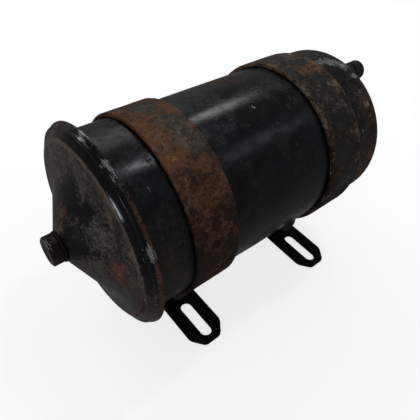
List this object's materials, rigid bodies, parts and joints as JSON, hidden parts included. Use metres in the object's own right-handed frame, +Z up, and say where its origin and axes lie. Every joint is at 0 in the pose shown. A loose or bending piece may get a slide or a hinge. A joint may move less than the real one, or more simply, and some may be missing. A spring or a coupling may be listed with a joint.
{
  "type": "canister filter housing",
  "caption": "Cylindrical oil filter canister with a bolted cone lid, lying on its side in two strap clamps with slotted feet; lid, bolt, element, plugs and clamp nuts move.",
  "frame": {"origin": "on the surface under the feet, midway along the whole length and midway across", "axes": "+Z up; X along the canister's axis, -X towards the bolted lid, +X towards the closed end with the ports; -Y is the side seen in the picture"},
  "size_m": [0.2534, 0.1324, 0.1505],
  "materials": {
    "black_paint": "worn gloss black with dirt, chips and light rust",
    "lid_paint": "black paint under brown-grey dirt and rust",
    "rusty_strap": "brown and orange rust over worn grey paint",
    "black_bracket": "matte black with light rust",
    "plain_steel": "oily bare steel",
    "copper": "tarnished copper",
    "rubber": "matte",
    "filter_cotton": "oily wound cotton"
  },
  "bodies": {
    "housing": {"canister_shell": "black_paint", "inlet_boss": "black_paint", "outlet_collar": "black_paint", "standpipe": "plain_steel", "standpipe_insert": "plain_steel", "element_rest": "plain_steel", "front_strap": "rusty_strap", "rear_strap": "rusty_strap", "front_foot_near": "black_bracket", "front_foot_far": "black_bracket", "rear_foot_near": "black_bracket", "rear_foot_far": "black_bracket", "front_clamp_bolt": "rusty_strap", "front_clamp_head_washer": "rusty_strap", "rear_clamp_bolt": "rusty_strap", "rear_clamp_head_washer": "rusty_strap"},
    "lid": {"lid_cover": "lid_paint", "lid_gasket": "rubber", "spring_seat": "plain_steel", "pressure_spring": "plain_steel", "spring_cup": "plain_steel"},
    "bolt_washer": {"lid_bolt_washer": "copper"},
    "bolt": {"lid_bolt": "black_bracket", "lid_bolt_clip": "plain_steel"},
    "element": {"element_top_cap": "plain_steel", "element_end_cap": "plain_steel", "element_media": "filter_cotton", "element_core": "plain_steel", "element_top_seal": "rubber", "element_end_seal": "rubber"},
    "inlet_seal": {"inlet_washer": "copper"},
    "inlet_stopper": {"inlet_plug": "black_bracket"},
    "outlet_seal": {"outlet_washer": "copper"},
    "outlet_stopper": {"outlet_plug": "black_bracket"},
    "front_nut_washer": {"front_clamp_nut_washer": "rusty_strap"},
    "front_nut": {"front_clamp_nut": "rusty_strap"},
    "rear_nut_washer": {"rear_clamp_nut_washer": "rusty_strap"},
    "rear_nut": {"rear_clamp_nut": "rusty_strap"}
  },
  "joints": [
    {"name": "lid_lift", "type": "slide", "parent": "housing", "child": "lid", "axis": [-1, 0, 0], "range_m": [0, 0.4]},
    {"name": "element_pull", "type": "slide", "parent": "housing", "child": "element", "axis": [-1, 0, 0], "range_m": [0, 0.2]},
    {"name": "lid_bolt_travel", "type": "slide", "parent": "lid", "child": "bolt_washer", "axis": [-1, 0, 0], "range_m": [0, 0.0127]},
    {"name": "lid_bolt_turn", "type": "hinge", "parent": "bolt_washer", "child": "bolt", "pos_m": [-0.11995, 0, 0.087], "axis": [-1, 0, 0], "range_deg": [0, 3610]},
    {"name": "inlet_plug_travel", "type": "slide", "parent": "housing", "child": "inlet_seal", "axis": [1, 0, 0], "range_m": [0, 0.00847]},
    {"name": "inlet_plug_turn", "type": "hinge", "parent": "inlet_seal", "child": "inlet_stopper", "pos_m": [0.12005, -0.0057, 0.1286], "axis": [1, 0, 0], "range_deg": [0, 2170]},
    {"name": "outlet_plug_travel", "type": "slide", "parent": "housing", "child": "outlet_seal", "axis": [1, 0, 0], "range_m": [0, 0.00847]},
    {"name": "outlet_plug_turn", "type": "hinge", "parent": "outlet_seal", "child": "outlet_stopper", "pos_m": [0.11905, 0, 0.087], "axis": [1, 0, 0], "range_deg": [0, 2170]},
    {"name": "front_clamp_nut_travel", "type": "slide", "parent": "housing", "child": "front_nut_washer", "axis": [0, 1, 0], "range_m": [0, 0.01]},
    {"name": "front_clamp_nut_turn", "type": "hinge", "parent": "front_nut_washer", "child": "front_nut", "pos_m": [-0.0531, 0.029, 0.018], "axis": [0, 1, 0], "range_deg": [0, 2890]},
    {"name": "rear_clamp_nut_travel", "type": "slide", "parent": "housing", "child": "rear_nut_washer", "axis": [0, 1, 0], "range_m": [0, 0.01]},
    {"name": "rear_clamp_nut_turn", "type": "hinge", "parent": "rear_nut_washer", "child": "rear_nut", "pos_m": [0.059, 0.029, 0.018], "axis": [0, 1, 0], "range_deg": [0, 2890]}
  ],
  "couplings": [
    {"joint": "element_pull", "follows": "lid_lift", "ratio": 0.5},
    {"joint": "lid_bolt_turn", "follows": "lid_bolt_travel", "rad_per_m": 4947.4},
    {"joint": "inlet_plug_turn", "follows": "inlet_plug_travel", "rad_per_m": 4453},
    {"joint": "outlet_plug_turn", "follows": "outlet_plug_travel", "rad_per_m": 4453},
    {"joint": "front_clamp_nut_turn", "follows": "front_clamp_nut_travel", "rad_per_m": 5026.5},
    {"joint": "rear_clamp_nut_turn", "follows": "rear_clamp_nut_travel", "rad_per_m": 5026.5}
  ]
}
